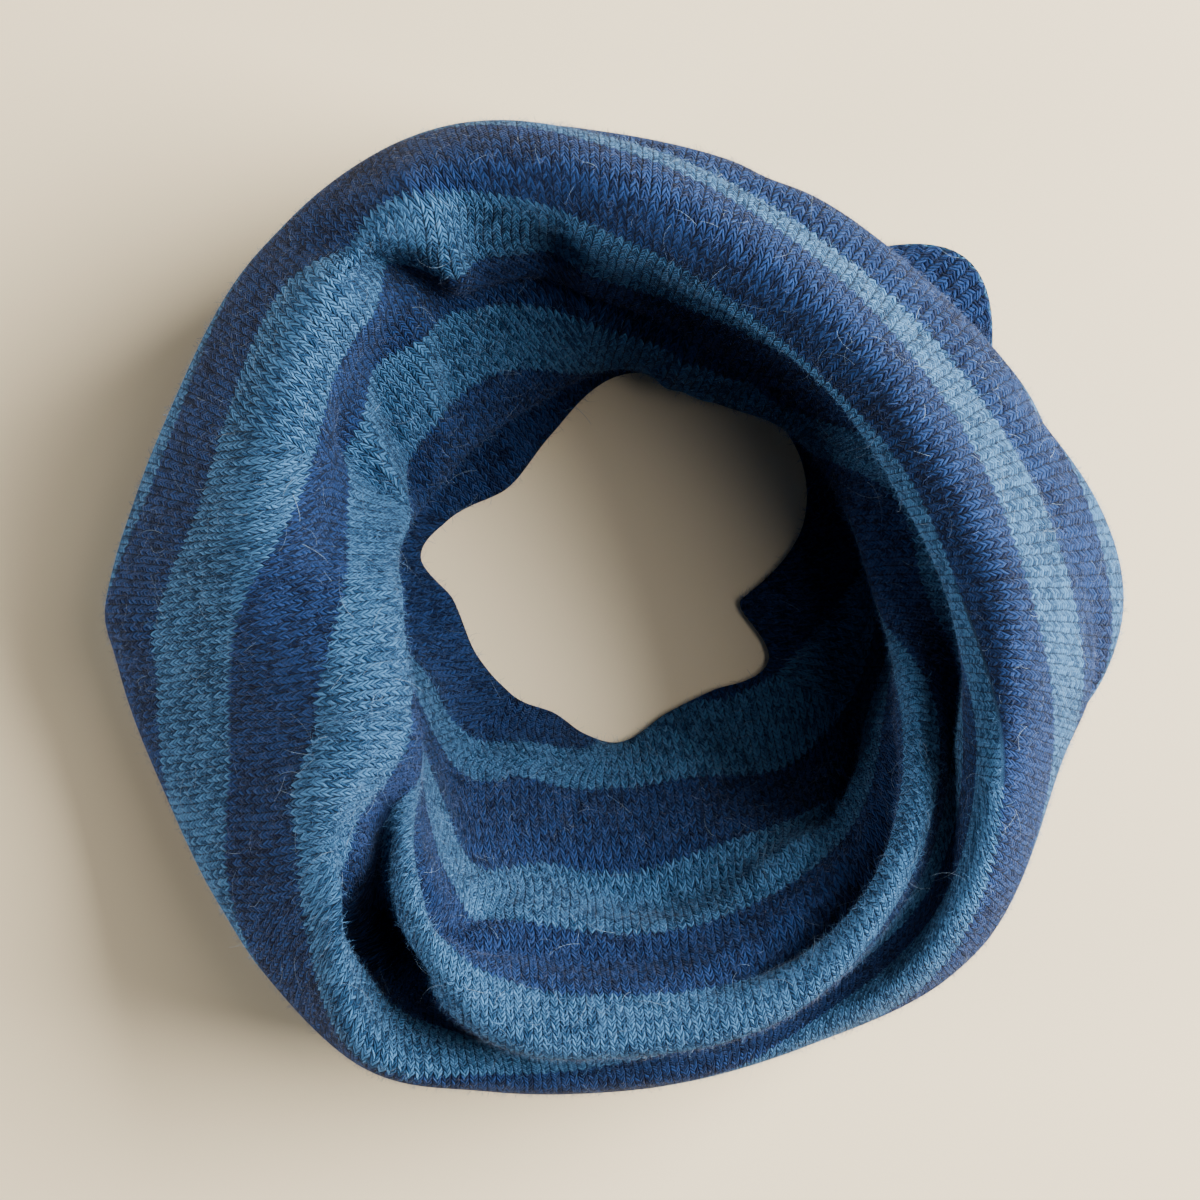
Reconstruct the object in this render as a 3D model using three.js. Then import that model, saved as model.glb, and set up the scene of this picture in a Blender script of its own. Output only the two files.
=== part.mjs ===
import * as THREE from 'three';

// A striped knitted tube, a neck warmer, slumped into a ring on a table.
// Millimetres, +Z up. Azimuth 0 is +X and 90 is +Y, about the ring's axis.
// The tube is one wall of cloth. Every section through the axis follows the same cloth:
// outer hem, foot, bulge, shoulder, crest of the rim, lip, valley, second crest, inner wall,
// inner foot, inner hem. A section row gives each of these points its radius and height.

// The cloth
const wall = 2.6;
const seamGap = 0.5;
// Cloth that lies less than this above the table is pressed flat on it
const pressedFlat = 0.3;

// The ring's axis, placed so that the box around the cloth is centred on the origin
const ringCentre = { x: 0.3, y: 2.35 };

// Sampling of the surface: degrees from one section to the next, steps of the line between two
// named points, and how many of those steps a row of faces takes
const degreesAStep = 5.6;
const curveSteps = 8;
const rowSteps = 2;
// Passes that round the cloth's folds, as knitted cloth takes no sharp crease
const roundingPasses = 7;

// A row for each section, by its azimuth in degrees. Each point is [radius, height], and the two
// hems lie on the table, so they have a radius alone.
const sections = [
  // The wide side wall on the right
  {
    azimuth: 0, hem: 96, foot: [116, 5], bulge: [115.5, 21], shoulder: [97, 56],
    crest: [79, 83], lip: [70.5, 66], valley: [80, 46], second: [57, 42],
    innerWall: [67, 20], innerFoot: [58, 7], innerHem: 29,
  },
  {
    azimuth: 22.5, hem: 92, foot: [104, 5], bulge: [106, 27], shoulder: [90, 56],
    crest: [72.5, 83], lip: [63.5, 68], valley: [74, 48], second: [54.5, 34],
    innerWall: [66, 18], innerFoot: [63, 7], innerHem: 48,
  },
  // Where the outer hem flares out
  {
    azimuth: 45, hem: 116, foot: [96, 6], bulge: [101.5, 27], shoulder: [88.5, 56],
    crest: [72.5, 83], lip: [63.5, 69], valley: [69, 54], second: [55.5, 17],
    innerWall: [65, 12], innerFoot: [66, 6], innerHem: 57,
  },
  {
    azimuth: 67.5, hem: 77, foot: [98, 4], bulge: [102, 30], shoulder: [92, 56],
    crest: [77, 81], lip: [66.5, 70], valley: [68.5, 56], second: [50.5, 12],
    innerWall: [62, 9], innerFoot: [64, 4.5], innerHem: 55,
  },
  {
    azimuth: 90, hem: 77, foot: [101, 4], bulge: [104.5, 33], shoulder: [97.5, 66],
    crest: [87, 82], lip: [77.5, 74], valley: [71, 53], second: [54.5, 12],
    innerWall: [63, 9], innerFoot: [65, 4.5], innerHem: 54,
  },
  // The lit patch below the rim
  {
    azimuth: 112.5, hem: 76, foot: [104, 6], bulge: [112, 44], shoulder: [108, 60],
    crest: [97, 73.5], lip: [85, 61], valley: [73, 35], second: [50, 10],
    innerWall: [62, 8], innerFoot: [62, 4], innerHem: 43,
  },
  {
    azimuth: 135, hem: 76, foot: [104, 5], bulge: [112.5, 42], shoulder: [102.5, 62],
    crest: [91, 75], lip: [82.5, 67], valley: [78, 44], second: [49, 12],
    innerWall: [61, 8], innerFoot: [60, 4], innerHem: 38,
  },
  {
    azimuth: 155, hem: 80, foot: [106, 5], bulge: [112, 26], shoulder: [99, 53.5],
    crest: [84.5, 68.5], lip: [74, 61], valley: [69.5, 40], second: [50.5, 14],
    innerWall: [62, 10], innerFoot: [61, 4.5], innerHem: 45.5,
  },
  {
    azimuth: 168, hem: 82, foot: [109, 5], bulge: [114, 24], shoulder: [99.5, 48],
    crest: [84, 63.5], lip: [74, 60], valley: [66, 47], second: [51.5, 37],
    innerWall: [62, 22], innerFoot: [60, 5], innerHem: 49,
  },
  // The corner on the left
  {
    azimuth: 180, hem: 86, foot: [112, 5], bulge: [118, 21], shoulder: [103, 43],
    crest: [84, 59], lip: [74, 59.5], valley: [61.5, 57], second: [48.5, 50],
    innerWall: [63, 28], innerFoot: [58, 5], innerHem: 40,
  },
  {
    azimuth: 202.5, hem: 82, foot: [108, 4], bulge: [114, 24], shoulder: [95, 42],
    crest: [80, 53], lip: [73, 57.5], valley: [63, 60.5], second: [50.5, 51],
    innerWall: [60, 28], innerFoot: [48, 7], innerHem: 37,
  },
  // The pleat below the left band
  {
    azimuth: 217, hem: 80, foot: [107, 3], bulge: [115, 30], shoulder: [100, 46],
    crest: [86, 56], lip: [78, 57], valley: [69, 51], second: [57, 46],
    innerWall: [61, 28], innerFoot: [50, 6], innerHem: 35,
  },
  // The pinch
  {
    azimuth: 226, hem: 80, foot: [108, 2.5], bulge: [117, 34], shoulder: [104, 50],
    crest: [91, 59], lip: [84.5, 55], valley: [78, 46], second: [69, 53],
    innerWall: [64, 32], innerFoot: [50, 7], innerHem: 34,
  },
  {
    azimuth: 240, hem: 78, foot: [109, 1.3], bulge: [118.5, 38], shoulder: [116.5, 52],
    crest: [112.5, 61.5], lip: [107.5, 57.5], valley: [100, 45], second: [85, 67],
    innerWall: [68, 37], innerFoot: [48.5, 14], innerHem: 32,
  },
  // Two rolls side by side
  {
    azimuth: 255, hem: 78, foot: [106, 1.3], bulge: [114, 32], shoulder: [112.3, 45],
    crest: [109.8, 52.5], lip: [105.5, 52], valley: [100.5, 52], second: [98, 68.5],
    innerWall: [70, 44], innerFoot: [46, 14], innerHem: 34,
  },
  {
    azimuth: 270, hem: 78, foot: [103, 1.3], bulge: [110.5, 31], shoulder: [108.3, 44],
    crest: [106, 50.5], lip: [102.5, 50], valley: [98.5, 51], second: [97, 68.5],
    innerWall: [70, 44], innerFoot: [44.5, 13], innerHem: 35,
  },
  {
    azimuth: 292.5, hem: 80, foot: [101, 2], bulge: [108.5, 31], shoulder: [106.6, 44],
    crest: [104.3, 51], lip: [100.8, 50.5], valley: [96.7, 51], second: [95, 68],
    innerWall: [70.5, 43], innerFoot: [45.5, 13], innerHem: 30,
  },
  // The ridge across the inner wall
  {
    azimuth: 315, hem: 84, foot: [103, 5], bulge: [112, 34], shoulder: [107.5, 55],
    crest: [99.5, 67.5], lip: [95, 61.5], valley: [89.5, 58], second: [83.5, 67.5],
    innerWall: [73.5, 42], innerFoot: [57, 8], innerHem: 31,
  },
  {
    azimuth: 337.5, hem: 90, foot: [103, 6], bulge: [105.5, 28], shoulder: [102, 52],
    crest: [87.5, 75], lip: [81.5, 64], valley: [79, 54], second: [70.5, 57],
    innerWall: [65.5, 28], innerFoot: [60, 6], innerHem: 38.5,
  },
];

// Stretches of the cloth, in the order of the named points: 0 is the outer hem, 4 the crest of
// the rim, 5 its lip, 6 the valley, 7 the second crest and 10 the inner hem. 4.75 lies three
// quarters of the way from the crest to the lip, and 6.375 on the rise to the second crest.
const stretches = [
  { name: 'outer_hem', from: 0, to: 1.5, color: 0x26406f },
  { name: 'outer_wall', from: 1.5, to: 3.5, color: 0x5f8fbb },
  { name: 'rim_roll', from: 3.5, to: 4.75, color: 0x26406f },
  { name: 'valley_wall', from: 4.75, to: 6.375, color: 0x4a78a8 },
  { name: 'second_roll', from: 6.375, to: 8, color: 0x5f8fbb },
  { name: 'inner_wall', from: 8, to: 9.5, color: 0x4a78a8 },
  { name: 'inner_hem', from: 9.5, to: 10, color: 0x26406f },
];

// Quarters of the ring, by the azimuths that they run between
const quarters = [
  { name: 'back', from: 30, to: 120 },
  { name: 'left', from: 120, to: 208 },
  { name: 'front', from: 208, to: 300 },
  { name: 'right', from: 300, to: 390 },
];

const yarnRoughness = 0.92;
const halfWall = wall / 2;
const degreesAround = 360;
const pointsBetweenHems = [
  'foot', 'bulge', 'shoulder', 'crest', 'lip', 'valley', 'second', 'innerWall', 'innerFoot',
];

// Cubic from start to end with a slope at each, at the share t between them
function cubic(start, end, slopeStart, slopeEnd, t) {
  const rise = end - start;
  const second = 3 * rise - 2 * slopeStart - slopeEnd;
  const third = slopeStart + slopeEnd - 2 * rise;
  return start + t * (slopeStart + t * (second + t * third));
}

// The section row at a place counted round the ring, and its width in degrees up to the next
const rowAt = (i) => sections[(i + sections.length) % sections.length];
const widthAt = (i) => (rowAt(i + 1).azimuth - rowAt(i).azimuth + degreesAround) % degreesAround;

// How fast a value that pick reads changes at a row, for one degree
function slopeAt(i, pick) {
  return (pick(rowAt(i + 1)) - pick(rowAt(i - 1))) / (widthAt(i - 1) + widthAt(i));
}

// A value that pick reads from the section rows, blended round the ring
function around(azimuth, pick) {
  const first = sections.findLastIndex((row) => row.azimuth <= azimuth);
  const width = widthAt(first);
  const slopes = [first, first + 1].map((i) => slopeAt(i, pick) * width);
  const share = (azimuth - rowAt(first).azimuth) / width;
  return cubic(pick(rowAt(first)), pick(rowAt(first + 1)), ...slopes, share);
}

// The points that the cloth passes in the section at an azimuth. No point lies lower than the
// cloth on the table.
function sectionPoints(azimuth) {
  const read = (name, index) => around(azimuth, (row) => row[name][index]);
  const point = (name) => new THREE.Vector3(read(name, 0), Math.max(read(name, 1), halfWall), 0);
  const onTable = (name) => new THREE.Vector3(around(azimuth, (row) => row[name]), halfWall, 0);
  return [onTable('hem'), ...pointsBetweenHems.map(point), onTable('innerHem')];
}

// Each point but the ends moved to the middle between itself and its neighbours' middle
function rounded(points) {
  return points.map((p, i) => {
    if (i === 0 || i === points.length - 1) {
      return p;
    }
    const between = points[i - 1].clone().lerp(points[i + 1], 0.5);
    return p.clone().lerp(between, 0.5);
  });
}

// The middle line of the cloth in the section at an azimuth
function clothLine(azimuth) {
  const points = sectionPoints(azimuth);
  const curve = new THREE.CatmullRomCurve3(points, false, 'centripetal');
  const last = (points.length - 1) * curveSteps;
  let line = Array.from({ length: last + 1 }, (_, i) => {
    const p = curve.getPoint(i / last);
    return new THREE.Vector2(p.x, Math.max(p.y, halfWall));
  });
  for (let pass = 0; pass < roundingPasses; pass += 1) {
    line = rounded(line);
  }
  return line;
}

// The height of a face over the table
const settled = (height) => (height < pressedFlat ? 0 : height);

// Both faces of a stretch in one section: the cloth's right side and its back.
// The end rows stand back from the seam by half its gap.
function facesOf(line, stretch) {
  const first = stretch.from * curveSteps;
  const last = stretch.to * curveSteps;
  const faces = [];
  for (let i = first; i <= last; i += rowSteps) {
    const before = line[Math.max(i - 1, 0)];
    const after = line[Math.min(i + 1, line.length - 1)];
    const along = after.clone().sub(before).normalize();
    const out = new THREE.Vector2(along.y, -along.x).multiplyScalar(halfWall);
    const middle = line[i].clone();
    if (i === first && i > 0) {
      middle.addScaledVector(along, seamGap / 2);
    }
    if (i === last && i < line.length - 1) {
      middle.addScaledVector(along, -seamGap / 2);
    }
    const right = middle.clone().add(out);
    const back = middle.clone().sub(out);
    right.y = settled(right.y);
    back.y = settled(back.y);
    faces.push({ right, back });
  }
  return faces;
}

// A length of cloth along the ring from its faces in every section. Its first and last sections
// stand back from the seams by half the gap.
function clothGeometry(faces, azimuths) {
  const rows = faces[0].length;
  const round = rows * 2;
  const last = faces.length - 1;
  const positions = [];
  faces.forEach((section, k) => {
    const azimuth = THREE.MathUtils.degToRad(azimuths[k]);
    const inward = Number(k === 0) - Number(k === last);
    const back = (inward * seamGap) / 2;
    const loop = [...section.map((f) => f.right), ...section.map((f) => f.back).reverse()];
    loop.forEach((p) => {
      const x = ringCentre.x + p.x * Math.cos(azimuth) - back * Math.sin(azimuth);
      const y = ringCentre.y + p.x * Math.sin(azimuth) + back * Math.cos(azimuth);
      positions.push(x, y, p.y);
    });
  });
  // The cloth's two faces and its two cut edges, from each section to the next
  const index = [];
  for (let k = 0; k < last; k += 1) {
    for (let i = 0; i < round; i += 1) {
      const a = k * round + i;
      const b = k * round + ((i + 1) % round);
      index.push(a, a + round, b + round, a, b + round, b);
    }
  }
  // The thickness of the cloth at the first section and at the last
  const end = last * round;
  for (let i = 0; i < rows - 1; i += 1) {
    const back = round - 1 - i;
    index.push(i, i + 1, back - 1, i, back - 1, back);
    index.push(end + i, end + back - 1, end + i + 1, end + i, end + back, end + back - 1);
  }
  const geometry = new THREE.BufferGeometry();
  geometry.setAttribute('position', new THREE.Float32BufferAttribute(positions, 3));
  geometry.setIndex(index);
  geometry.computeVertexNormals();
  return geometry;
}

// One named stretch of the cloth in one quarter of the ring
function stretchMesh(stretch, quarter, azimuths, lines) {
  const geometry = clothGeometry(lines.map((line) => facesOf(line, stretch)), azimuths);
  const material = new THREE.MeshStandardMaterial({
    color: stretch.color,
    roughness: yarnRoughness,
    metalness: 0,
    name: `${stretch.name}_knit`,
  });
  const mesh = new THREE.Mesh(geometry, material);
  mesh.name = `${stretch.name}_${quarter.name}`;
  return mesh;
}

const scarf = new THREE.Group();
scarf.name = 'infinity_scarf';
quarters.forEach((quarter) => {
  const steps = Math.round((quarter.to - quarter.from) / degreesAStep);
  const width = (quarter.to - quarter.from) / steps;
  const azimuths = Array.from({ length: steps + 1 }, (_, k) => quarter.from + k * width);
  const lines = azimuths.map((azimuth) => clothLine(azimuth % degreesAround));
  stretches.forEach((stretch) => scarf.add(stretchMesh(stretch, quarter, azimuths, lines)));
});

export default scarf;
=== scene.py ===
"""A striped knitted neck warmer, slumped into a ring on a pale table, seen from above.

The whole cloth is one tube. Its surface is worked out from sections round the ring, as the
part's solids are, and the stitches, hems and nap are laid on that surface.
"""

import logging
import math
from dataclasses import dataclass, field
from enum import Enum

import bmesh
import bpy
import numpy as np
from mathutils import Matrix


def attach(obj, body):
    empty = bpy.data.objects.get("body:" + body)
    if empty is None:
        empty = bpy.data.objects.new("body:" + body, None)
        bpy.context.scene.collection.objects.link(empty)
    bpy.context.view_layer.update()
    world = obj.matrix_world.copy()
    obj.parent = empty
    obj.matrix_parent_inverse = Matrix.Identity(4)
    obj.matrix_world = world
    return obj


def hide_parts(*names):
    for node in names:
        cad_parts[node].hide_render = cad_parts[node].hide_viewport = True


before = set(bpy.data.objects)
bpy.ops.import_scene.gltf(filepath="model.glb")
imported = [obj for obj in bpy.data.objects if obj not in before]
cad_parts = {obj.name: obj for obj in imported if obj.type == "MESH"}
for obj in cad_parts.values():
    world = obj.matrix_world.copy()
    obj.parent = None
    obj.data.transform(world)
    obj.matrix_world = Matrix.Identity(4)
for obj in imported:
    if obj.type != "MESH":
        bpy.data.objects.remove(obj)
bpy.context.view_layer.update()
LOG = logging.getLogger("neck_warmer")

MM = 0.001
FULL_TURN = 2 * math.pi

# The cloth's gauge
STRIPES = 15
STRIPE_MM = 25.0
COURSES_PER_STRIPE = 17
WALE_MM = 2.04
WALL_MM = 2.6
RING_CENTRE_MM = (0.3, 2.35)

# Least length that a division may meet
TINY = 1e-9

# Names of the points that the cloth passes in a section, from the outer hem to the inner one
POINTS = (
    "hem",
    "foot",
    "bulge",
    "shoulder",
    "crest",
    "lip",
    "valley",
    "second",
    "inner_wall",
    "inner_foot",
    "inner_hem",
)


class Yarn(Enum):
    """The two colours that the tube is knitted in."""

    NAVY = "navy"
    STEEL = "steel"


class Side(Enum):
    """The two faces of the cloth."""

    RIGHT = "right"
    BACK = "back"


@dataclass(frozen=True)
class Section:
    """Where the cloth lies at one azimuth, in degrees: radius and height of its points, in mm.

    A hem has a radius only, because it lies on the table. The stripe counts say how many stripes
    lie between the outer hem and that point.
    """

    azimuth: float
    hem: float
    foot: tuple[float, float]
    bulge: tuple[float, float]
    shoulder: tuple[float, float]
    crest: tuple[float, float]
    lip: tuple[float, float]
    valley: tuple[float, float]
    second: tuple[float, float]
    inner_wall: tuple[float, float]
    inner_foot: tuple[float, float]
    inner_hem: float
    crest_stripe: float
    second_stripe: float
    wall_stripe: float
    foot_stripe: float
    edge_stripe: float

    def place(self, name: str) -> tuple[float, float]:
        """Radius and height of a named point; a hem lies on the table."""
        value = getattr(self, name)
        return value if isinstance(value, tuple) else (value, WALL_MM / 2)


# One row for each section, by its azimuth from +X towards +Y
SECTIONS = (
    # First line: azimuth, hem, foot, bulge, shoulder, crest, lip, valley. Second line: second roll,
    # inner wall, inner foot, inner hem, then the stripe counts of crest, second roll, inner wall,
    # inner foot and inner hem
    Section(0, 96, (116, 5), (115.5, 21), (97, 56), (79, 83), (70.5, 66), (80, 46),
            (57, 42), (67, 20), (58, 7), 29, 4.38, 8.8, 11.5, 13.85, 15),
    Section(22.5, 92, (104, 5), (106, 27), (90, 56), (72.5, 83), (63.5, 68), (74, 48),
            (54.5, 34), (66, 18), (63, 7), 48, 4.48, 8.9, 12, 14.3, 15),
    Section(45, 116, (96, 6), (101.5, 27), (88.5, 56), (72.5, 83), (63.5, 69), (69, 54),
            (55.5, 17), (65, 12), (66, 6), 57, 4.45, 7.7, 11, 14.3, 15),
    Section(67.5, 77, (98, 4), (102, 30), (92, 56), (77, 81), (66.5, 70), (68.5, 56),
            (50.5, 12), (62, 9), (64, 4.5), 55, 4.5, 7.8, 11, 14.4, 15),
    Section(90, 77, (101, 4), (104.5, 33), (97.5, 66), (87, 82), (77.5, 74), (71, 53),
            (54.5, 12), (63, 9), (65, 4.5), 54, 4.5, 7.85, 11, 14.4, 15),
    Section(112.5, 76, (104, 6), (112, 44), (108, 60), (97, 73.5), (85, 61), (73, 35),
            (50, 10), (62, 8), (62, 4), 43, 4.92, 8.6, 11.5, 14.15, 15),
    Section(135, 76, (104, 5), (112.5, 42), (102.5, 62), (91, 75), (82.5, 67), (78, 44),
            (49, 12), (61, 8), (60, 4), 38, 5.42, 8.7, 11.5, 14.1, 15),
    Section(155, 80, (106, 5), (112, 26), (99, 53.5), (84.5, 68.5), (74, 61), (69.5, 40),
            (50.5, 14), (62, 10), (61, 4.5), 45.5, 5.5, 8.3, 11.5, 14.35, 15),
    Section(168, 82, (109, 5), (114, 24), (99.5, 48), (84, 63.5), (74, 60), (66, 47),
            (51.5, 37), (62, 22), (60, 5), 49, 5.55, 7.75, 11, 14.4, 15),
    Section(180, 86, (112, 5), (118, 21), (103, 43), (84, 59), (74, 59.5), (61.5, 57),
            (48.5, 50), (63, 28), (58, 5), 40, 5.9, 7.75, 11, 14.2, 15),
    Section(202.5, 82, (108, 4), (114, 24), (95, 42), (80, 53), (73, 57.5), (63, 60.5),
            (50.5, 51), (60, 28), (48, 7), 37, 6.7, 8, 11, 14.3, 15),
    Section(217, 80, (107, 3), (115, 30), (100, 46), (86, 56), (78, 57), (69, 51),
            (57, 46), (61, 28), (50, 6), 35, 7.2, 8.4, 11.2, 14, 15),
    Section(226, 80, (108, 2.5), (117, 34), (104, 50), (91, 59), (84.5, 55), (78, 46),
            (69, 53), (64, 32), (50, 7), 34, 7.4, 9.6, 11.6, 13.8, 15),
    Section(240, 78, (109, 1.3), (118.5, 38), (116.5, 52), (112.5, 61.5), (107.5, 57.5), (100, 45),
            (85, 67), (68, 37), (48.5, 14), 32, 7.15, 9.75, 12.1, 13, 14.9),
    Section(255, 78, (106, 1.3), (114, 32), (112.3, 45), (109.8, 52.5), (105.5, 52), (100.5, 52),
            (98, 68.5), (70, 44), (46, 14), 34, 6.85, 9.4, 11.4, 13, 14.4),
    Section(270, 78, (103, 1.3), (110.5, 31), (108.3, 44), (106, 50.5), (102.5, 50), (98.5, 51),
            (97, 68.5), (70, 44), (44.5, 13), 35, 6.6, 9.4, 11.4, 13, 13.6),
    Section(292.5, 80, (101, 2), (108.5, 31), (106.6, 44), (104.3, 51), (100.8, 50.5), (96.7, 51),
            (95, 68), (70.5, 43), (45.5, 13), 30, 5.8, 9.4, 11.35, 13, 13.85),
    Section(315, 84, (103, 5), (112, 34), (107.5, 55), (99.5, 67.5), (95, 61.5), (89.5, 58),
            (83.5, 67.5), (73.5, 42), (57, 8), 31, 5.2, 9.75, 11.1, 13, 14.15),
    Section(337.5, 90, (103, 6), (105.5, 28), (102, 52), (87.5, 75), (81.5, 64), (79, 54),
            (70.5, 57), (65.5, 28), (60, 6), 38.5, 4.95, 9.7, 11.3, 13.15, 14.2),
)


@dataclass(frozen=True)
class Crease:
    """A soft trough or ridge across the cloth.

    azimuth is in degrees and stripe is the count from the outer hem. turn is the angle of the
    crease's line from the ring's direction, in degrees. depth is positive for a trough.
    """

    azimuth: float
    stripe: float
    turn: float
    length_mm: float
    width_mm: float
    depth_mm: float


# The creases that the cloth shows, and similar ones where it is hidden
CREASES = (
    Crease(117.5, 5.9, 88, 48, 9, -4.5),
    Crease(125, 5.8, 106, 52, 12, 8.0),
    Crease(102, 6.0, 80, 36, 12, 3.0),
    Crease(93, 6.75, 0, 60, 9, 5.0),
    Crease(131, 7.4, 65, 40, 8, -2.5),
    Crease(142, 7.5, 55, 40, 9, 3.0),
    Crease(152, 7.0, 65, 34, 9, 2.5),
    Crease(204, 7.3, 75, 34, 7, 2.4),
    Crease(212, 7.4, 78, 36, 7, -1.8),
    Crease(219, 7.6, 80, 34, 7, 2.6),
    Crease(183, 4.6, 80, 34, 9, -3.0),
    Crease(272, 11.7, -12, 66, 20, 6.0),
    Crease(268, 10.6, 4, 60, 14, 3.0),
    Crease(243, 10.35, 22, 40, 8, 3.5),
    Crease(308, 10.3, 12, 60, 12, 10.0),
    Crease(306, 11.4, 2, 60, 11, -3.5),
    Crease(157, 8.3, 15, 28, 10, 7.0),
    Crease(151, 7.5, 50, 26, 7, -3.0),
    Crease(322, 12.0, 40, 44, 10, 4.5),
    Crease(243, 10.6, 70, 40, 9, 4.0),
    Crease(232, 8.3, 60, 50, 13, 10.0),
    Crease(30, 3.1, 10, 70, 9, 1.6),
    Crease(68, 3.15, 3, 84, 13, 4.5),
    Crease(345, 2.2, 20, 50, 10, 2.2),
    Crease(60, 7.2, 75, 40, 8, 1.8),
    Crease(76, 7.4, 80, 40, 8, -1.5),
    Crease(20, 1.6, 60, 40, 10, 1.6),
    Crease(68, 1.8, 75, 40, 10, 1.8),
    Crease(95, 1.6, 80, 44, 10, -1.6),
    Crease(160, 1.9, 75, 44, 10, 1.8),
    Crease(214, 3.6, 70, 44, 10, 1.8),
    Crease(262, 4.2, 75, 44, 10, 1.6),
    Crease(305, 3.0, 70, 44, 10, 1.8),
)


def cubic(
    start: np.ndarray, end: np.ndarray, slope_start: np.ndarray, slope_end: np.ndarray, t: np.ndarray
) -> np.ndarray:
    """A cubic from start to end with given slopes, at the share t.

    Args:
        start: values at share 0.
        end: values at share 1.
        slope_start: change for the whole step, as it leaves start.
        slope_end: change for the whole step, as it reaches end.
        t: the share, shaped to broadcast over the values.

    Returns:
        The blended values.
    """
    rise = end - start
    second = 3 * rise - 2 * slope_start - slope_end
    third = slope_start + slope_end - 2 * rise
    return start + t * (slope_start + t * (second + t * third))


@dataclass
class ClothForm:
    """The tube's surface, worked out from its sections.

    curve_steps are the steps of the section's line between two named points. rounding_passes
    round the folds as the solids' folds are rounded. crease_radius_mm is the radius at which a
    crease's length round the ring is measured. foot_stripe is the least stripe count at the
    outer foot.
    """

    sections: tuple[Section, ...] = SECTIONS
    creases: tuple[Crease, ...] = CREASES
    curve_steps: int = 24
    rounding_passes: int = 60
    crease_radius_mm: float = 85.0
    foot_stripe: float = 0.2

    def around(self, azimuth: np.ndarray, rows: np.ndarray) -> np.ndarray:
        """Blends a value that each section row holds round the ring.

        Args:
            azimuth: angles in radians.
            rows: one entry for each section, of any shape.

        Returns:
            The values at each azimuth.
        """
        at = np.radians([section.azimuth for section in self.sections])
        width = np.roll(at, -1) - at
        width[-1] += FULL_TURN
        shape = (-1,) + (1,) * (rows.ndim - 1)
        both = (width + np.roll(width, 1)).reshape(shape)
        slope = (np.roll(rows, -1, axis=0) - np.roll(rows, 1, axis=0)) / both
        turned = np.mod(azimuth, FULL_TURN)
        first = np.searchsorted(at, turned, side="right") - 1
        last = (first + 1) % len(at)
        step = width[first].reshape(shape)
        t = (turned - at[first]).reshape(shape) / step
        return cubic(rows[first], rows[last], slope[first] * step, slope[last] * step, t)

    def dense_lines(self, azimuth: np.ndarray) -> np.ndarray:
        """The middle line of the cloth in each section, as many close points.

        Args:
            azimuth: angles in radians.

        Returns:
            Radius and height, shaped (azimuth, point, 2), in mm.
        """
        rows = np.array([[s.place(name) for name in POINTS] for s in self.sections], float)
        points = self.around(azimuth, rows)
        points[..., 1] = np.maximum(points[..., 1], WALL_MM / 2)
        first = 2 * points[:, :1] - points[:, 1:2]
        last = 2 * points[:, -1:] - points[:, -2:-1]
        padded = np.concatenate([first, points, last], axis=1)
        pieces = []
        for k in range(len(POINTS) - 1):
            p0, p1, p2, p3 = (padded[:, k + j] for j in range(4))
            # The root of the distances keeps the curve from looping where points lie close
            d0, d1, d2 = (
                np.sqrt(np.maximum(np.linalg.norm(b - a, axis=1, keepdims=True), TINY))
                for a, b in ((p0, p1), (p1, p2), (p2, p3))
            )
            slope1 = ((p1 - p0) / d0 - (p2 - p0) / (d0 + d1) + (p2 - p1) / d1) * d1
            slope2 = ((p2 - p1) / d1 - (p3 - p1) / (d1 + d2) + (p3 - p2) / d2) * d1
            second = -3 * p1 + 3 * p2 - 2 * slope1 - slope2
            third = 2 * p1 - 2 * p2 + slope1 + slope2
            for t in np.arange(self.curve_steps) / self.curve_steps:
                pieces.append(p1 + slope1 * t + second * t * t + third * t**3)
        pieces.append(points[:, -1])
        line = np.stack(pieces, axis=1)
        line[..., 1] = np.maximum(line[..., 1], WALL_MM / 2)
        for _ in range(self.rounding_passes):
            line[:, 1:-1] = line[:, 1:-1] / 2 + (line[:, :-2] + line[:, 2:]) / 4
        return line

    def stripe_counts(self, azimuth: np.ndarray, line: np.ndarray) -> np.ndarray:
        """How many stripes lie between the outer hem and each point of the lines.

        Args:
            azimuth: angles in radians.
            line: the lines from dense_lines.

        Returns:
            Stripe counts, shaped (azimuth, point).
        """
        steps = np.linalg.norm(np.diff(line, axis=1), axis=2)
        length = np.concatenate([np.zeros((len(line), 1)), np.cumsum(steps, axis=1)], axis=1)
        held = np.array(
            [
                (s.crest_stripe, s.second_stripe, s.wall_stripe, s.foot_stripe, s.edge_stripe)
                for s in self.sections
            ]
        )
        crest, second, wall, foot, edge = self.around(azimuth, held).T
        names = ("hem", "foot", "crest", "second", "inner_wall", "inner_foot", "inner_hem")
        places = [POINTS.index(name) * self.curve_steps for name in names]
        outer_side = length[:, places[2]] - length[:, places[1]]
        outer_foot = np.maximum(crest - outer_side / STRIPE_MM, self.foot_stripe)
        ends = [np.zeros_like(crest), outer_foot, crest, second, wall, foot, edge]
        stripe = np.zeros_like(length)
        for k in range(len(places) - 1):
            a, b = places[k], places[k + 1]
            share = (length[:, a : b + 1] - length[:, a : a + 1]) / (
                length[:, b : b + 1] - length[:, a : a + 1]
            )
            rise = (ends[k + 1] - ends[k])[:, None]
            stripe[:, a : b + 1] = ends[k][:, None] + rise * share
        return stripe

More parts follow.
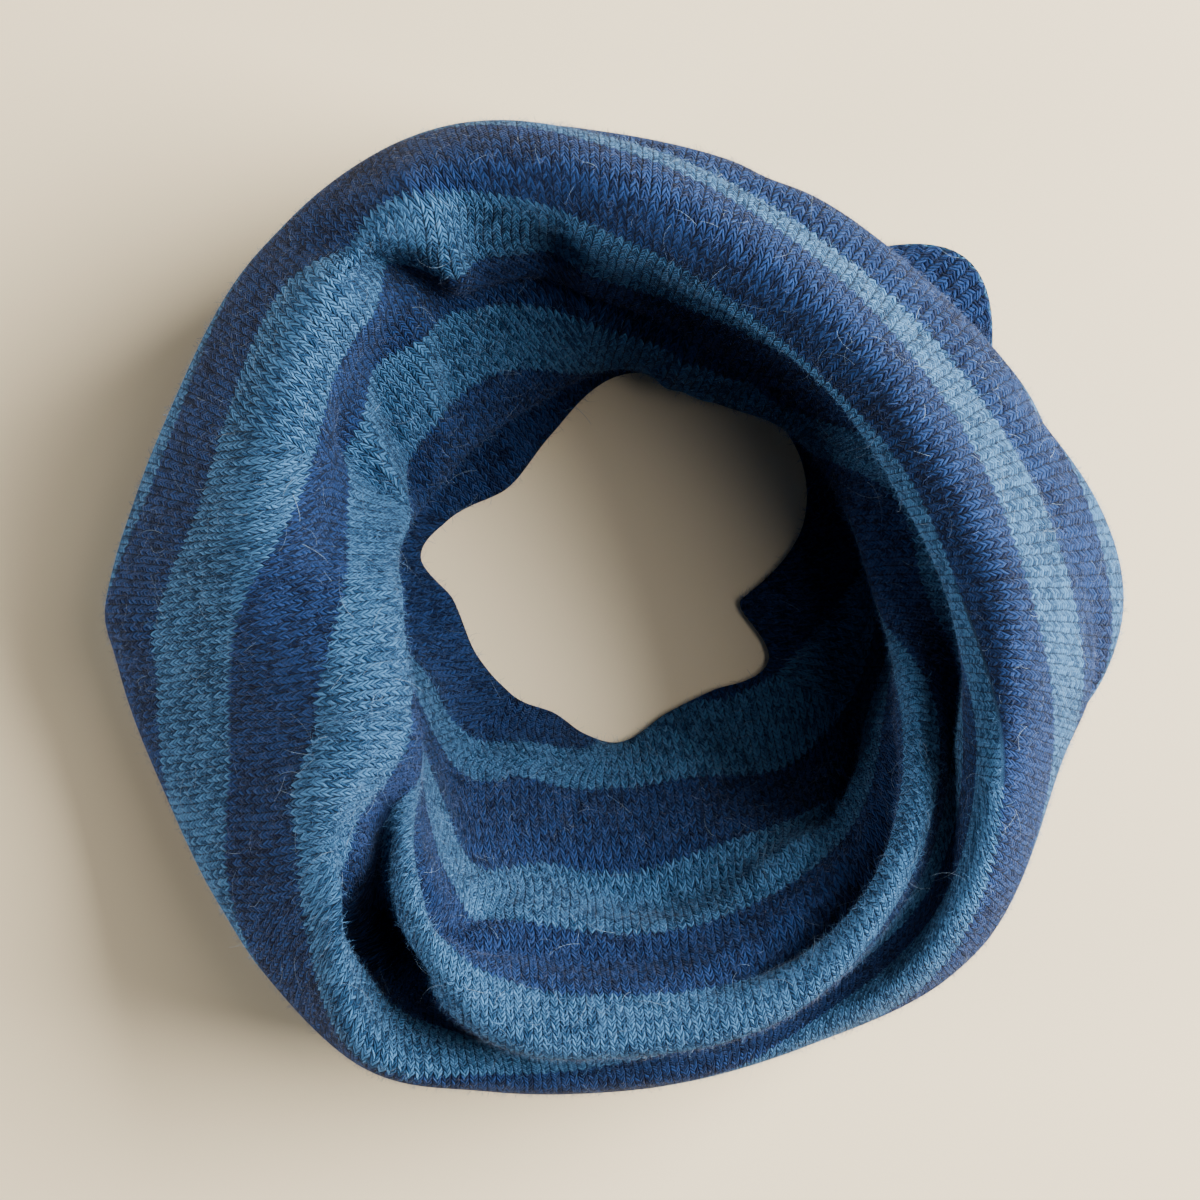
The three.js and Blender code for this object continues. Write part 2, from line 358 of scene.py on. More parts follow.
    def surface(self, azimuth: np.ndarray, stripe: np.ndarray) -> tuple[np.ndarray, np.ndarray]:
        """Points and outward directions of the cloth's middle surface.

        Args:
            azimuth: angles in radians, shaped (columns,).
            stripe: stripe counts from the outer hem, shaped (rows,).

        Returns:
            Points in mm and unit normals, both shaped (columns, rows, 3).
        """
        line = self.dense_lines(azimuth)
        counts = self.stripe_counts(azimuth, line)
        flat = np.empty((len(azimuth), len(stripe), 2))
        for k in range(len(azimuth)):
            flat[k, :, 0] = np.interp(stripe, counts[k], line[k, :, 0])
            flat[k, :, 1] = np.interp(stripe, counts[k], line[k, :, 1])
        points = np.empty((*flat.shape[:2], 3))
        points[..., 0] = RING_CENTRE_MM[0] + flat[..., 0] * np.cos(azimuth)[:, None]
        points[..., 1] = RING_CENTRE_MM[1] + flat[..., 0] * np.sin(azimuth)[:, None]
        points[..., 2] = flat[..., 1]
        points += self.directions(points) * self.relief(azimuth, stripe)[..., None]
        points[..., 2] = np.maximum(points[..., 2], WALL_MM / 2)
        return points, self.directions(points)

    def directions(self, points: np.ndarray) -> np.ndarray:
        """Unit normals of a closed ring of points, on the cloth's right side.

        Args:
            points: shaped (columns, rows, 3).

        Returns:
            The normals, shaped as the points.
        """
        along = np.gradient(points, axis=1)
        round_it = np.roll(points, -1, axis=0) - np.roll(points, 1, axis=0)
        normal = np.cross(round_it, along)
        return normal / np.maximum(np.linalg.norm(normal, axis=2, keepdims=True), TINY)

    def relief(self, azimuth: np.ndarray, stripe: np.ndarray) -> np.ndarray:
        """Height of the creases over the plain form.

        Args:
            azimuth: angles in radians, shaped (columns,).
            stripe: stripe counts, shaped (rows,).

        Returns:
            Heights in mm, shaped (columns, rows).
        """
        total = np.zeros((len(azimuth), len(stripe)))
        for crease in self.creases:
            gap = (azimuth - math.radians(crease.azimuth) + math.pi) % FULL_TURN - math.pi
            across = gap[:, None] * self.crease_radius_mm
            down = (stripe[None, :] - crease.stripe) * STRIPE_MM
            turn = math.radians(crease.turn)
            on = across * math.cos(turn) + down * math.sin(turn)
            off = -across * math.sin(turn) + down * math.cos(turn)
            long_way = on / (crease.length_mm / 2)
            short_way = off / (crease.width_mm / 2)
            total -= crease.depth_mm * np.exp(-(long_way**2) - short_way**2)
        return total


@dataclass(frozen=True)
class YarnColour:
    """One yarn's colours, linear: body, lighter fibres and painted shade between stitches."""

    body: tuple[float, float, float]
    fibre: tuple[float, float, float]
    painted_shade: tuple[float, float, float]


# The third colour of each yarn is painted shade for the gaps between stitches
YARNS = {
    Yarn.NAVY: YarnColour((0.001, 0.006, 0.034), (0.012, 0.044, 0.168), (0.0002, 0.001, 0.005)),
    Yarn.STEEL: YarnColour((0.005, 0.034, 0.100), (0.055, 0.178, 0.390), (0.0006, 0.004, 0.016)),
}

# The few long loose hairs are paler than the yarn, a painted highlight for the light they catch
PALE_HAIR = (0.16, 0.25, 0.38)


class Nodes:
    """Small helpers that add shader nodes to one tree."""

    def __init__(self, tree: bpy.types.NodeTree) -> None:
        """Keeps the tree that the nodes go to."""
        self.tree = tree

    def add(self, kind: str, **values: object) -> bpy.types.Node:
        """Adds a node and sets its properties.

        Args:
            kind: the node's type name.
            values: properties of the node.

        Returns:
            The node.
        """
        node = self.tree.nodes.new(kind)
        for name, value in values.items():
            setattr(node, name, value)
        return node

    def put(self, socket: bpy.types.NodeSocket, value: object) -> None:
        """Links a socket to another, or sets its own value.

        Args:
            socket: the socket that takes the value.
            value: another node's output, or a plain value.
        """
        if isinstance(value, bpy.types.NodeSocket):
            self.tree.links.new(value, socket)
        else:
            socket.default_value = value

    def math(
        self, operation: str, a: object, b: object = 0.0, c: object = 0.0
    ) -> bpy.types.NodeSocket:
        """One Math node's result.

        Args:
            operation: the node's operation.
            a: first value or output.
            b: second value or output.
            c: third value or output.

        Returns:
            The result's socket.
        """
        node = self.add("ShaderNodeMath", operation=operation)
        for socket, value in zip(node.inputs, (a, b, c)):
            self.put(socket, value)
        return node.outputs[0]

    def mix(self, share: object, a: object, b: object) -> bpy.types.NodeSocket:
        """A blend of two colours.

        Args:
            share: how much of the second colour there is.
            a: first colour.
            b: second colour.

        Returns:
            The blend's socket.
        """
        # The Mix node's sockets for colours are its seventh and eighth, and its third output
        node = self.add("ShaderNodeMix", data_type="RGBA")
        self.put(node.inputs[0], share)
        self.put(node.inputs[6], a)
        self.put(node.inputs[7], b)
        return node.outputs[2]

    def steps(self, value: object, low: object, high: object) -> bpy.types.NodeSocket:
        """A smooth rise from 0 to 1 between low and high.

        Args:
            value: the value to read.
            low: where the rise starts.
            high: where it ends.

        Returns:
            The rise's socket.
        """
        node = self.add("ShaderNodeMapRange", interpolation_type="SMOOTHSTEP")
        self.put(node.inputs["Value"], value)
        self.put(node.inputs["From Min"], low)
        self.put(node.inputs["From Max"], high)
        return node.outputs[0]

    def noise(
        self, vector: object, scale: float, detail: float, roughness: float = 0.5
    ) -> bpy.types.NodeSocket:
        """The value of a noise texture.

        Args:
            vector: the coordinates that it follows.
            scale: spots in one unit of the coordinates.
            detail: how many finer layers it has.
            roughness: how strong the finer layers are.

        Returns:
            The value's socket.
        """
        node = self.add("ShaderNodeTexNoise")
        self.put(node.inputs["Vector"], vector)
        node.inputs["Scale"].default_value = scale
        node.inputs["Detail"].default_value = detail
        node.inputs["Roughness"].default_value = roughness
        return node.outputs["Fac"]

    def pair(self, x: object, y: object) -> bpy.types.NodeSocket:
        """A vector from two numbers.

        Args:
            x: first number or output.
            y: second number or output.

        Returns:
            The vector's socket.
        """
        node = self.add("ShaderNodeCombineXYZ")
        self.put(node.inputs[0], x)
        self.put(node.inputs[1], y)
        return node.outputs[0]


@dataclass(frozen=True)
class KnitPattern:
    """The stitches as a node group on the cloth's own UV map, in wales and courses.

    leg_lean is how far a stitch's leg climbs over half a wale, in courses, and leg_round is the
    power that rounds its back. wander and sway are the most that the yarn strays from its line,
    across in wales and along in courses. leg_shift sets neighbouring legs' fibres apart.
    groove is how far the middle of a stitch sinks, up to groove_end, and edge_drop how far its
    edges sink, from edge_start, both as shares of half a wale. streaks is how many fibres show
    across a leg. own_tone, streak_tone and fuzz_tone are the shares of a leg's own tone, its
    fibres and the fuzz in the tone. loose_height is how much the fibres raise the surface.
    """

    leg_lean: float = 1.15
    leg_round: float = 0.65
    wander: float = 0.52
    sway: float = 1.04
    leg_shift: float = 7.3
    groove: float = 0.30
    groove_end: float = 0.3
    edge_drop: float = 0.75
    edge_start: float = 0.68
    streaks: float = 4.0
    own_tone: float = 0.30
    streak_tone: float = 0.45
    fuzz_tone: float = 0.4
    loose_height: float = 0.35

    def build(self) -> bpy.types.NodeTree:
        """Makes the group: Wale and Course in; Height, Stripe, Leg and Tone out.

        Returns:
            The node group.
        """
        group = bpy.data.node_groups.new("plain_knit", "ShaderNodeTree")
        for name in ("Wale", "Course"):
            group.interface.new_socket(name, in_out="INPUT", socket_type="NodeSocketFloat")
        for name in ("Height", "Stripe", "Leg", "Tone"):
            group.interface.new_socket(name, in_out="OUTPUT", socket_type="NodeSocketFloat")
        n = Nodes(group)
        inputs = n.add("NodeGroupInput")
        outputs = n.add("NodeGroupOutput")
        wale = self.strayed(n, inputs.outputs["Wale"], inputs.outputs["Course"], self.wander)
        course = self.strayed(n, inputs.outputs["Course"], inputs.outputs["Wale"], self.sway)
        turned = n.math("SUBTRACT", n.math("FRACT", wale), 0.5)
        half = n.math("MULTIPLY", n.math("ABSOLUTE", turned), 2.0)
        climb = n.math("SUBTRACT", course, n.math("MULTIPLY", half, self.leg_lean))
        across = n.math("FRACT", climb)
        # The leg's back: 0 at both edges and 1 along its middle
        left = n.math("SUBTRACT", 1.0, across)
        rounded = n.math("MULTIPLY", n.math("MULTIPLY", across, 4.0), left)
        kept = n.steps(half, 1.0, self.edge_start)
        rim = n.math("MULTIPLY_ADD", kept, self.edge_drop, 1.0 - self.edge_drop)
        filled = n.steps(half, 0.0, self.groove_end)
        middle = n.math("MULTIPLY_ADD", filled, self.groove, 1.0 - self.groove)
        back = n.math("POWER", rounded, self.leg_round)
        leg = n.math("MULTIPLY", back, n.math("MULTIPLY", rim, middle))
        # Each leg has a tone of its own, and its fibres lie along it
        strand = n.math("FLOOR", n.math("MULTIPLY", wale, 2.0))
        own = n.add("ShaderNodeTexWhiteNoise", noise_dimensions="2D")
        n.put(own.inputs["Vector"], n.pair(strand, n.math("FLOOR", climb)))
        shift = n.math("MULTIPLY", strand, self.leg_shift)
        along_leg = n.pair(n.math("MULTIPLY", climb, self.streaks), n.math("ADD", half, shift))
        streak = n.noise(along_leg, 1.0, 3.0, 0.7)
        fuzz = n.noise(n.pair(wale, course), 4.0, 4.0, 0.75)
        tone = n.math("MULTIPLY", streak, self.streak_tone)
        tone = n.math("MULTIPLY_ADD", own.outputs["Value"], self.own_tone, tone)
        tone = n.math("MULTIPLY_ADD", fuzz, self.fuzz_tone, tone)
        # Every second band is the light yarn
        band = n.math("FLOOR", n.math("DIVIDE", climb, float(COURSES_PER_STRIPE)))
        light = n.math("GREATER_THAN", n.math("FRACT", n.math("MULTIPLY", band, 0.5)), 0.25)
        loose = n.math("ADD", streak, fuzz)
        n.put(outputs.inputs["Height"], n.math("MULTIPLY_ADD", loose, self.loose_height, leg))
        n.put(outputs.inputs["Stripe"], light)
        n.put(outputs.inputs["Leg"], leg)
        n.put(outputs.inputs["Tone"], tone)
        return group

    def strayed(
        self, n: Nodes, value: bpy.types.NodeSocket, other: bpy.types.NodeSocket, reach: float
    ) -> bpy.types.NodeSocket:
        """A count that strays slowly by up to about half of reach."""
        slow = n.noise(n.pair(value, other), 0.5, 2.0)
        return n.math("MULTIPLY_ADD", n.math("SUBTRACT", slow, 0.5), reach, value)


@dataclass(frozen=True)
class KnitFinish:
    """The napped knit: stitches in relief, heathered yarn and a soft sheen.

    tones are the values between which a leg turns from its body colour to its fibre colour.
    cloud is how much slow patches add to them, cloud_scale patches to the metre. gap is the
    span of leg height in which the painted shade between stitches fades out, and gap_darkness
    how dark that painted shade gets.
    dark it gets.
    """

    name: str = "striped_knit"
    relief_mm: float = 0.9
    tones: tuple[float, float] = (0.40, 0.72)
    cloud: float = 0.25
    cloud_scale: float = 60.0
    gap: tuple[float, float] = (0.08, 0.62)
    gap_darkness: float = 0.92
    sheen: float = 0.03
    sheen_roughness: float = 0.4
    sheen_tint: tuple[float, float, float] = (0.45, 0.68, 1.0)
    roughness: float = 0.95
    gloss: float = 0.15

    def build(self, pattern: bpy.types.NodeTree) -> bpy.types.Material:
        """Makes the material.

        Args:
            pattern: the stitch group.

        Returns:
            The material.
        """
        material = bpy.data.materials.new(self.name)
        material.use_nodes = True
        tree = material.node_tree
        tree.nodes.clear()
        n = Nodes(tree)
        place = n.add("ShaderNodeUVMap", uv_map="Knit")
        split = n.add("ShaderNodeSeparateXYZ")
        n.put(split.inputs[0], place.outputs[0])
        knit = n.add("ShaderNodeGroup", node_tree=pattern)
        n.put(knit.inputs["Wale"], split.outputs[0])
        n.put(knit.inputs["Course"], split.outputs[1])
        coordinates = n.add("ShaderNodeTexCoord").outputs["Object"]
        cloud = n.math("SUBTRACT", n.noise(coordinates, self.cloud_scale, 3.0), 0.5)
        stripe = knit.outputs["Stripe"]
        navy, steel = YARNS[Yarn.NAVY], YARNS[Yarn.STEEL]
        body = n.mix(stripe, (*navy.body, 1), (*steel.body, 1))
        fibre = n.mix(stripe, (*navy.fibre, 1), (*steel.fibre, 1))
        painted_shade = n.mix(stripe, (*navy.painted_shade, 1), (*steel.painted_shade, 1))
        tone = n.math("MULTIPLY_ADD", cloud, self.cloud, knit.outputs["Tone"])
        colour = n.mix(n.steps(tone, *self.tones), body, fibre)
        # Painted shade: the colour darkens where a leg's height falls away, between the stitches
        painted_shade_share = n.math("SUBTRACT", 1.0, n.steps(knit.outputs["Leg"], *self.gap))
        colour = n.mix(n.math("MULTIPLY", painted_shade_share, self.gap_darkness), colour, painted_shade)
        bump = n.add("ShaderNodeBump")
        bump.inputs["Strength"].default_value = 1.0
        bump.inputs["Distance"].default_value = self.relief_mm * MM
        n.put(bump.inputs["Height"], knit.outputs["Height"])
        shader = n.add("ShaderNodeBsdfPrincipled")
        n.put(shader.inputs["Base Color"], colour)
        shader.inputs["Roughness"].default_value = self.roughness
        shader.inputs["Specular IOR Level"].default_value = self.gloss
        shader.inputs["Sheen Weight"].default_value = self.sheen
        shader.inputs["Sheen Roughness"].default_value = self.sheen_roughness
        shader.inputs["Sheen Tint"].default_value = (*self.sheen_tint, 1)
        n.put(shader.inputs["Normal"], bump.outputs[0])
        output = n.add("ShaderNodeOutputMaterial")
        n.put(output.inputs[0], shader.outputs[0])
        return material


@dataclass
class KnitTube:
    """The whole cloth as one thin closed shell, with its stitches on a UV map.

    Between the azimuths in darts, in degrees, the inner stitch columns keep their width.
    dart_start is the stripe count from which they do. back_lift_mm keeps the back off the
    table's level, and merge_m is how close points are that become one.
    """

    form: ClothForm
    columns: int = 304
    rows: int = 180
    back_rows: int = 60
    darts: tuple[float, ...] = (27, 97, 155, 222, 334)
    dart_start: float = 5.0
    back_lift_mm: float = 0.02
    merge_m: float = 1e-6
    finish: KnitFinish = field(default_factory=KnitFinish)

    def stripes(self, rows: int) -> np.ndarray:
        """Evenly spaced stripe counts from hem to hem."""
        return np.linspace(0.0, STRIPES, rows + 1)

    def grid(self, side: Side) -> bmesh.types.BMesh:
        """One face of the cloth as a grid that is closed round the ring.

        Args:
            side: which face.

        Returns:
            The mesh, with its Knit UV map filled in.
        """
        rows = self.rows if side is Side.RIGHT else self.back_rows
        azimuth = np.linspace(0.0, FULL_TURN, self.columns, endpoint=False)
        stripe = self.stripes(rows)
        middle, normal = self.form.surface(azimuth, stripe)
        sign = 1.0 if side is Side.RIGHT else -1.0
        lowest = 0.0 if side is Side.RIGHT else self.back_lift_mm
        place = middle + normal * (sign * WALL_MM / 2)
        place[..., 2] = np.maximum(place[..., 2], lowest)
        if side is Side.BACK:
            place[:, 0], place[:, -1] = self.hem_edges(azimuth)
        closed = np.concatenate([place, place[:1]], axis=0) * MM
        bm = bmesh.new()
        bmesh.ops.create_grid(bm, x_segments=self.columns, y_segments=rows, size=1.0)
        bm.verts.ensure_lookup_table()
        x_count = self.columns + 1
        for index, vertex in enumerate(bm.verts):
            vertex.co = closed[index % x_count, index // x_count]
        self.lay_stitches(bm, azimuth, stripe, middle)
        bmesh.ops.remove_doubles(bm, verts=bm.verts, dist=self.merge_m)
        return bm

    def hem_edges(self, azimuth: np.ndarray) -> tuple[np.ndarray, np.ndarray]:
        """The right side's two edges, which the back closes on.

        Args:
            azimuth: angles of the columns, in radians.

        Returns:
            The outer and the inner edge's points, in mm.
        """
        middle, normal = self.form.surface(azimuth, self.stripes(self.rows))
        place = middle + normal * (WALL_MM / 2)
        place[..., 2] = np.maximum(place[..., 2], 0.0)
        return place[:, 0], place[:, -1]

    def lay_stitches(
        self, bm: bmesh.types.BMesh, azimuth: np.ndarray, stripe: np.ndarray, middle: np.ndarray
    ) -> None:
        """Fills the Knit UV map with wale and course counts.

        Args:
            bm: the grid, before its first and last columns are joined.
            azimuth: angles of the columns, in radians.
            stripe: stripe counts of the rows.
            middle: the middle surface, in mm.
        """
        ring = np.concatenate([middle, middle[:1]], axis=0)
        step = np.linalg.norm(np.diff(ring, axis=0), axis=2)
        length = np.concatenate([np.zeros((1, step.shape[1])), np.cumsum(step, axis=0)], axis=0)
        crest = int(np.argmin(np.abs(stripe - self.dart_start)))
        total = round(length[-1, crest] / WALE_MM)
        outer = length[:, crest : crest + 1] / length[-1, crest] * total
        degrees = np.degrees(np.concatenate([azimuth, [FULL_TURN]]))
        layer = bm.loops.layers.uv.new("Knit")
        x_count = self.columns + 1
        edges = sorted(self.darts)
        sectors = list(zip(edges, edges[1:] + [edges[0] + 360]))
        wales = []
        for low, high in sectors:
            # Each sector counts its wales from its own middle
            reference = ((low + high) / 2) % 360
            k = int(np.argmin(np.abs(degrees - reference)))
            wrapped = length - length[k : k + 1]
            if high > 360:
                # The last sector runs on past the seam at azimuth 0
                past_seam = (degrees < low - 1)[:, None]
                if reference > 180:
                    wrapped = wrapped + np.where(past_seam, length[-1:], 0)
                else:
                    wrapped = wrapped - np.where(past_seam, 0, length[-1:])
            wales.append(outer[k] + wrapped / WALE_MM)
        courses = stripe * COURSES_PER_STRIPE
        inner = stripe[None, :] > self.dart_start
        for face in bm.faces:
            columns = [loop.vert.index % x_count for loop in face.loops]
            centre = degrees[min(columns)] + 180 / self.columns
            number = next(
                i
                for i, (low, high) in enumerate(sectors)
                if low <= centre < high or low <= centre + 360 < high
            )
            for loop, column in zip(face.loops, columns):
                row = loop.vert.index // x_count
                wale = wales[number][column, row] if inner[0, row] else outer[column, 0]
                loop[layer].uv = (wale, courses[row])

    def build(self, pattern: bpy.types.NodeTree) -> bpy.types.Object:
        """Makes the tube's object, dressed.

        Args:
            pattern: the stitch group.

        Returns:
            The object.
        """
        right = self.grid(Side.RIGHT)
        back = self.grid(Side.BACK)
        bmesh.ops.reverse_faces(back, faces=back.faces)
        mesh = bpy.data.meshes.new("knit_tube")
        back_mesh = bpy.data.meshes.new("knit_back")
        back.to_mesh(back_mesh)
        right.from_mesh(back_mesh)
        bpy.data.meshes.remove(back_mesh)
        bmesh.ops.remove_doubles(right, verts=right.verts, dist=2 * self.merge_m)
        for face in right.faces:
            face.smooth = True
        right.to_mesh(mesh)
        right.free()
        back.free()
        tube = bpy.data.objects.new("knit_tube", mesh)
        bpy.context.collection.objects.link(tube)
        mesh.materials.append(self.finish.build(pattern))
        return tube


@dataclass(frozen=True)
class NapFinish:
    """Loose fibres that stand off the cloth, between a darker and a lighter tone of colour."""

    name: str
    colour: tuple[float, float, float]
    darker: float = 0.65
    lighter: float = 1.5
    roughness: float = 0.8
    sheen: float = 0.3

    def build(self) -> bpy.types.Material:
        """Makes the fibres' material.

        Returns:
            The material.
        """
        material = bpy.data.materials.new(self.name)
        material.use_nodes = True
        tree = material.node_tree
        tree.nodes.clear()
        n = Nodes(tree)
        coordinates = n.add("ShaderNodeTexCoord").outputs["Object"]
        tone = n.steps(n.noise(coordinates, 900.0, 1.0), 0.3, 0.7)
        dark = tuple(c * self.darker for c in self.colour)
        light = tuple(min(1.0, c * self.lighter) for c in self.colour)
        shader = n.add("ShaderNodeBsdfPrincipled")
        n.put(shader.inputs["Base Color"], n.mix(tone, (*dark, 1), (*light, 1)))
        shader.inputs["Roughness"].default_value = self.roughness
        shader.inputs["Sheen Weight"].default_value = self.sheen
        output = n.add("ShaderNodeOutputMaterial")
        n.put(output.inputs[0], shader.outputs[0])
        return material


@dataclass
class Nap:
    """The halo of loose fibres: thin tapered strands over one span of stripes.

    joints is how many lengths a strand has. spread and width_spread set how much the strands
    differ in length and width, rise how far they stand off the cloth and curl how far they bend
    aside, up to most_curl. The longest strand is the number e to the power longest times the
    usual one. shrink, droop and taper are the shares of its reach, rise and width that a strand
    has lost at its tip. Roots are picked on a grid of columns round the ring and grid_rows to
    the stripe, and lie sunk_mm under the surface. Nothing lies lower than lowest_mm.
    """

    form: ClothForm
    name: str
    first_stripe: float
    last_stripe: float
    count: int
    seed: int
    length_mm: float = 2.3
    width_mm: float = 0.045
    joints: int = 3
    spread: float = 0.5
    longest: float = 0.5
    width_spread: float = 0.2
    rise: tuple[float, float] = (0.15, 0.8)
    curl: float = 0.4
    most_curl: float = 0.9
    shrink: float = 0.3
    droop: float = 0.45
    taper: float = 0.4
    columns: int = 720
    grid_rows: int = 24
    sunk_mm: float = 0.1
    lowest_mm: float = 0.05

    def roots(self, rng: np.random.Generator) -> tuple[np.ndarray, np.ndarray, np.ndarray]:
        """Picks where the strands leave the cloth, evenly over its area.

        Args:
            rng: the seeded generator.

        Returns:
            Root points in mm, outward directions, and the stripe number of each.
        """
        span = self.last_stripe - self.first_stripe
        rows = int(span * self.grid_rows)
        azimuth = np.linspace(0, FULL_TURN, self.columns, endpoint=False)
        stripe = np.linspace(self.first_stripe, self.last_stripe, rows + 1)
        middle, normal = self.form.surface(azimuth, stripe)
        step = np.linalg.norm(np.roll(middle, -1, axis=0) - middle, axis=2)[:, :-1]
        tall = np.linalg.norm(np.diff(middle, axis=1), axis=2)
        weight = (step * tall).ravel()
        pick = rng.choice(len(weight), self.count, p=weight / weight.sum())
        i, j = np.divmod(pick, rows)
        a, b = rng.random((2, self.count, 1))
        beside = (i + 1) % self.columns
        low = middle[i, j] * (1 - a) + middle[beside, j] * a
        high = middle[i, j + 1] * (1 - a) + middle[beside, j + 1] * a
        out = normal[i, j]
        root = low * (1 - b) + high * b + out * (WALL_MM / 2 - self.sunk_mm)
        share = (j + b[:, 0]) / rows
        return root, out, np.floor(self.first_stripe + share * span)

    def build(self, finishes: dict[Yarn, bpy.types.Material]) -> bpy.types.Object:
        """Makes the strands as one mesh.

        Args:
            finishes: a material for each yarn.

        Returns:
            The object.
        """
        rng = np.random.default_rng(self.seed)
        root, out, number = self.roots(rng)
        lie = rng.normal(size=(self.count, 3))
        lie -= (lie * out).sum(axis=1, keepdims=True) * out
        lie /= np.linalg.norm(lie, axis=1, keepdims=True)
        side = np.cross(out, lie)
        stretch = np.minimum(rng.normal(0, self.spread, (self.count, 1)), self.longest)
        length = self.length_mm * np.exp(stretch)
        rise = rng.uniform(*self.rise, (self.count, 1))
        curl = np.clip(rng.normal(0, self.curl, (self.count, 1)), -self.most_curl, self.most_curl)
        stoutness = np.exp(rng.normal(0, self.width_spread, (self.count, 1)))
        wide = side * self.width_mm / 2 * stoutness
        # Towards its tip a strand gets thinner, leans over and flattens out
        corners = []
        for t in np.arange(self.joints + 1) / self.joints:
            reach = length * t
            place = root + lie * reach * (1 - self.shrink * t) + side * reach * t * curl
            place = place + out * reach * rise * (1 - self.droop * t)
            half = wide * (1 - self.taper * t)
            corners += [place - half, place + half] if t < 1 else [place]
        vertices = np.stack(corners, axis=1).reshape(-1, 3)
        vertices[:, 2] = np.maximum(vertices[:, 2], self.lowest_mm)
        # Every length but the last is a four-sided face, and the tip is a triangle
        base = (np.arange(self.count) * len(corners))[:, None]
        quads = [base + (2 * k, 2 * k + 1, 2 * k + 3, 2 * k + 2) for k in range(self.joints - 1)]
        last = 2 * self.joints
        faces = [*np.concatenate(quads).tolist(), *(base + (last - 2, last - 1, last)).tolist()]
        mesh = bpy.data.meshes.new(self.name)
        mesh.from_pydata((vertices * MM).tolist(), [], faces)
        slots = np.tile(number % 2, self.joints).astype(np.int32)
        mesh.polygons.foreach_set("material_index", slots)
        mesh.materials.append(finishes[Yarn.NAVY])
        mesh.materials.append(finishes[Yarn.STEEL])
        nap = bpy.data.objects.new(self.name, mesh)
        bpy.context.collection.objects.link(nap)
        return nap


@dataclass(frozen=True)
class Lamp:
    """A soft square lamp that faces the ring. place and size are in metres, power in watts."""

    name: str
    place: tuple[float, float, float]
    size: float
    power: float
    colour: tuple[float, float, float]

    def build(self) -> None:
        """Adds the lamp, turned towards the ring."""
        data = bpy.data.lights.new(self.name, "AREA")
        data.shape = "SQUARE"
        data.size = self.size
        data.energy = self.power
        data.color = self.colour
        lamp = bpy.data.objects.new(self.name, data)
        bpy.context.collection.objects.link(lamp)
        x, y, z = self.place
        tilt = math.atan2(math.hypot(x, y), z)
        lamp.location = self.place
        lamp.rotation_euler = (tilt, 0, math.atan2(y, x) + math.pi / 2)


# The window on the right, the light from above it, and what the wall on the left gives back
LAMPS = (
    Lamp("window", (1.40, 0.30, 0.70), 1.4, 172.0, (1.0, 0.955, 0.87)),
    Lamp("upper_pane", (0.80, 0.20, 1.30), 0.9, 10.0, (1.0, 0.93, 0.84)),
    Lamp("wall", (-1.6, -0.3, 0.22), 0.45, 42.0, (1.0, 0.95, 0.88)),
)


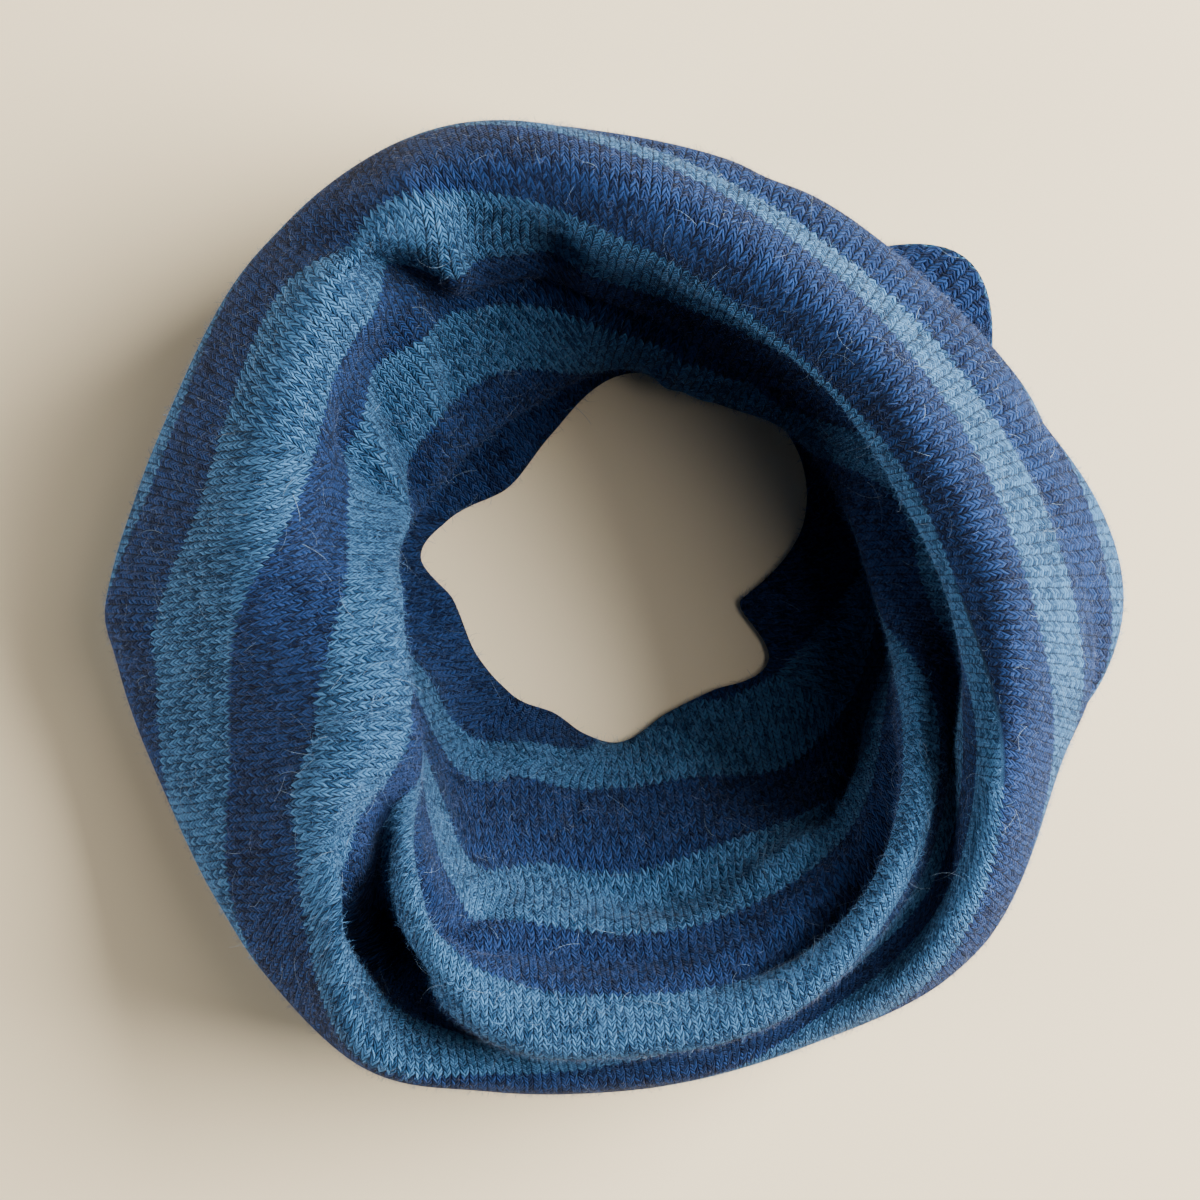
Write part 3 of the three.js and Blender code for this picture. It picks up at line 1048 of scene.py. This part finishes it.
@dataclass
class Studio:
    """The pale table, the soft light and the camera.

    view_mm is the width that the camera takes in, and view_offset_mm where it stands, from the
    ring's axis. table_half_m is half the table's side.
    """

    lamps: tuple[Lamp, ...] = LAMPS
    sky_colour: tuple[float, float, float] = (1.0, 0.97, 0.93)
    sky_strength: float = 0.03
    table_half_m: float = 12.0
    table_tones: tuple[tuple[float, float, float], ...] = ((0.80, 0.68, 0.47), (0.86, 0.74, 0.53))
    table_roughness: float = 0.55
    camera_height_mm: float = 650.0
    view_mm: float = 288.0
    view_offset_mm: tuple[float, float] = (-4.8, 0.0)
    sensor_mm: float = 36.0

    def table(self) -> bpy.types.Object:
        """A plain pale floor with a faint unevenness in its tone.

        Returns:
            The floor's object.
        """
        bm = bmesh.new()
        bmesh.ops.create_grid(bm, x_segments=1, y_segments=1, size=self.table_half_m)
        mesh = bpy.data.meshes.new("table")
        bm.to_mesh(mesh)
        bm.free()
        floor = bpy.data.objects.new("table", mesh)
        bpy.context.collection.objects.link(floor)
        material = bpy.data.materials.new("pale_table")
        material.use_nodes = True
        n = Nodes(material.node_tree)
        shader = material.node_tree.nodes["Principled BSDF"]
        coordinates = n.add("ShaderNodeTexCoord").outputs["Object"]
        low, high = ((*tone, 1) for tone in self.table_tones)
        n.put(shader.inputs["Base Color"], n.mix(n.noise(coordinates, 3.0, 3.0), low, high))
        shader.inputs["Roughness"].default_value = self.table_roughness
        mesh.materials.append(material)
        return floor

    def build(self) -> None:
        """Sets the stage: floor, lamps, sky and camera."""
        self.table()
        for lamp in self.lamps:
            lamp.build()
        world = bpy.data.worlds.new("room_light")
        world.use_nodes = True
        back = world.node_tree.nodes["Background"]
        back.inputs["Color"].default_value = (*self.sky_colour, 1)
        back.inputs["Strength"].default_value = self.sky_strength
        bpy.context.scene.world = world
        data = bpy.data.cameras.new("photo_view")
        data.sensor_width = self.sensor_mm
        data.lens = self.sensor_mm * self.camera_height_mm / self.view_mm
        camera = bpy.data.objects.new("photo_view", data)
        bpy.context.collection.objects.link(camera)
        x, y = (c + d for c, d in zip(RING_CENTRE_MM, self.view_offset_mm))
        camera.location = (x * MM, y * MM, self.camera_height_mm * MM)
        bpy.context.scene.camera = camera


def main() -> None:
    """Builds the pieces in order and reports each."""
    logging.basicConfig(level=logging.INFO, format="%(message)s")
    form = ClothForm()
    pattern = KnitPattern().build()
    tube = KnitTube(form).build(pattern)
    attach(tube, "root")
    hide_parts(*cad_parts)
    LOG.info("%s: %d faces", tube.name, len(tube.data.polygons))
    fibres = {
        Yarn.NAVY: NapFinish("navy_fibres", YARNS[Yarn.NAVY].fibre).build(),
        Yarn.STEEL: NapFinish("steel_fibres", YARNS[Yarn.STEEL].fibre).build(),
    }
    # The long hairs' paler colour is a painted highlight for the light that they catch
    pale = dict.fromkeys(Yarn, NapFinish("pale_hairs", PALE_HAIR).build())
    long_hairs = Nap(
        form,
        "long_hairs",
        first_stripe=0.0,
        last_stripe=15.0,
        count=1500,
        seed=7,
        length_mm=7.0,
        width_mm=0.05,
        joints=10,
        rise=(0.05, 0.45),
        curl=0.9,
    )
    for nap, finishes in (
        (Nap(form, "nap_outer", 0.0, 4.0, count=39000, seed=3), fibres),
        (Nap(form, "nap_rim", 4.0, 7.5, count=39000, seed=4), fibres),
        (Nap(form, "nap_second", 7.5, 11.0, count=39000, seed=5), fibres),
        (Nap(form, "nap_inner", 11.0, 15.0, count=36000, seed=6), fibres),
        (long_hairs, pale),
    ):
        strands = nap.build(finishes)
        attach(strands, "root")
        LOG.info("%s: %d faces", strands.name, len(strands.data.polygons))
    Studio().build()


if __name__ == "__main__":
    main()
